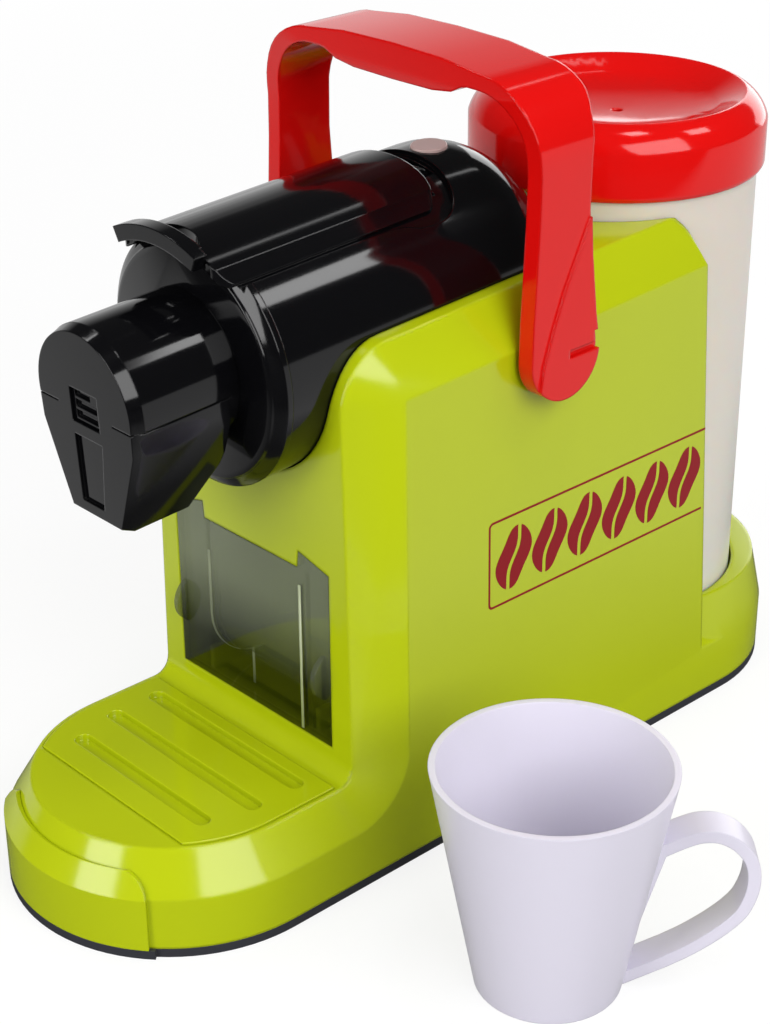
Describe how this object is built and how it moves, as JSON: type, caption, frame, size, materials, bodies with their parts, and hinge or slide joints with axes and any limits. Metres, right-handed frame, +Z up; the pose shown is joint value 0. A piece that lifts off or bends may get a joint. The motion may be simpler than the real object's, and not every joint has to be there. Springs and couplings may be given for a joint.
{
  "type": "toy coffee maker",
  "caption": "Lime green toy coffee maker with a lift-off water tank, capsule lever, capsule drawer, red carry handle and its own play cup.",
  "frame": {"origin": "centre of the machine's base on the floor, midway between the round ends of the base", "axes": "+Z up, -Y towards the spout, +X towards the side panel that the picture shows, where the cup stands"},
  "size_m": [0.1997, 0.2732, 0.2142],
  "materials": {
    "lime": "moulded, glossy",
    "black": "moulded, glossy",
    "dark": "moulded, satin",
    "red": "moulded, glossy",
    "smoke": "clear smoke-tinted plastic",
    "milky": "milky translucent plastic",
    "cup": "moulded, pale lavender white",
    "button": "pinkish grey plastic",
    "steel": "drawn steel",
    "cell": "printed battery wrapper, bare",
    "seal": "soft rubber",
    "hose": "soft tube",
    "white": "natural plastic",
    "pcb": "circuit board"
  },
  "bodies": {
    "machine": {"body_shell": "lime", "base_plate": "dark", "front_bezel": "lime", "drip_tray": "lime", "battery_door": "dark", "battery_door_screw": "steel", "battery_1": "cell", "battery_2": "cell", "battery_3": "cell", "battery_contacts": "steel", "housing_screws": "steel", "drawer_liner": "lime", "head_barrel": "black", "collar_ring": "black", "nozzle_housing": "black", "nozzle_grille": "black", "spout": "black", "capsule_chute": "black", "lever_pin": "steel", "start_switch": "pcb", "pivot_pegs": "lime", "tank_socket": "dark", "socket_seal": "seal", "pump_motor": "steel", "pump_housing": "dark", "pump_cover": "dark", "suction_hose": "hose", "delivery_hose": "hose"},
    "drawer": {"capsule_drawer": "smoke"},
    "lever": {"lever": "black"},
    "button": {"start_button": "button"},
    "handle": {"carry_handle": "red"},
    "tank": {"water_tank": "milky"},
    "valve": {"tank_valve": "dark"},
    "lid": {"tank_lid": "red"},
    "rotor": {"pump_rotor": "white"},
    "cup": {"toy_cup": "cup"}
  },
  "joints": [
    {"name": "drawer_slide", "type": "slide", "parent": "machine", "child": "drawer", "axis": [0, -1, 0], "range_m": [0, 0.024]},
    {"name": "lever_open", "type": "hinge", "parent": "machine", "child": "lever", "pos_m": [0, -0.00942, 0.17661], "axis": [-1, 0, 0], "range_deg": [0, 50]},
    {"name": "handle_swing", "type": "hinge", "parent": "machine", "child": "handle", "pos_m": [0, 0.0046, 0.1392], "axis": [1, 0, 0], "range_deg": [-15, 10]},
    {"name": "button_press", "type": "slide", "parent": "machine", "child": "button", "axis": [0, 0.0506, -0.9987], "range_m": [0, 0.0012], "stiffness_N_per_m": 800},
    {"name": "tank_lift", "type": "slide", "parent": "machine", "child": "tank", "axis": [0, 0, 1], "range_m": [0, 0.06]},
    {"name": "valve_lift", "type": "slide", "parent": "tank", "child": "valve", "axis": [0, 0, 1], "range_m": [0, 0.002]},
    {"name": "lid_lift", "type": "slide", "parent": "tank", "child": "lid", "axis": [0, 0, 1], "range_m": [0, 0.03]},
    {"name": "pump_turn", "type": "hinge", "parent": "machine", "child": "rotor", "pos_m": [0, 0, 0.0197], "axis": [0, 1, 0], "continuous": true},
    {"name": "cup_lift", "type": "slide", "parent": "machine", "child": "cup", "axis": [0, 0, 1], "range_m": [0, 0.04]}
  ]
}
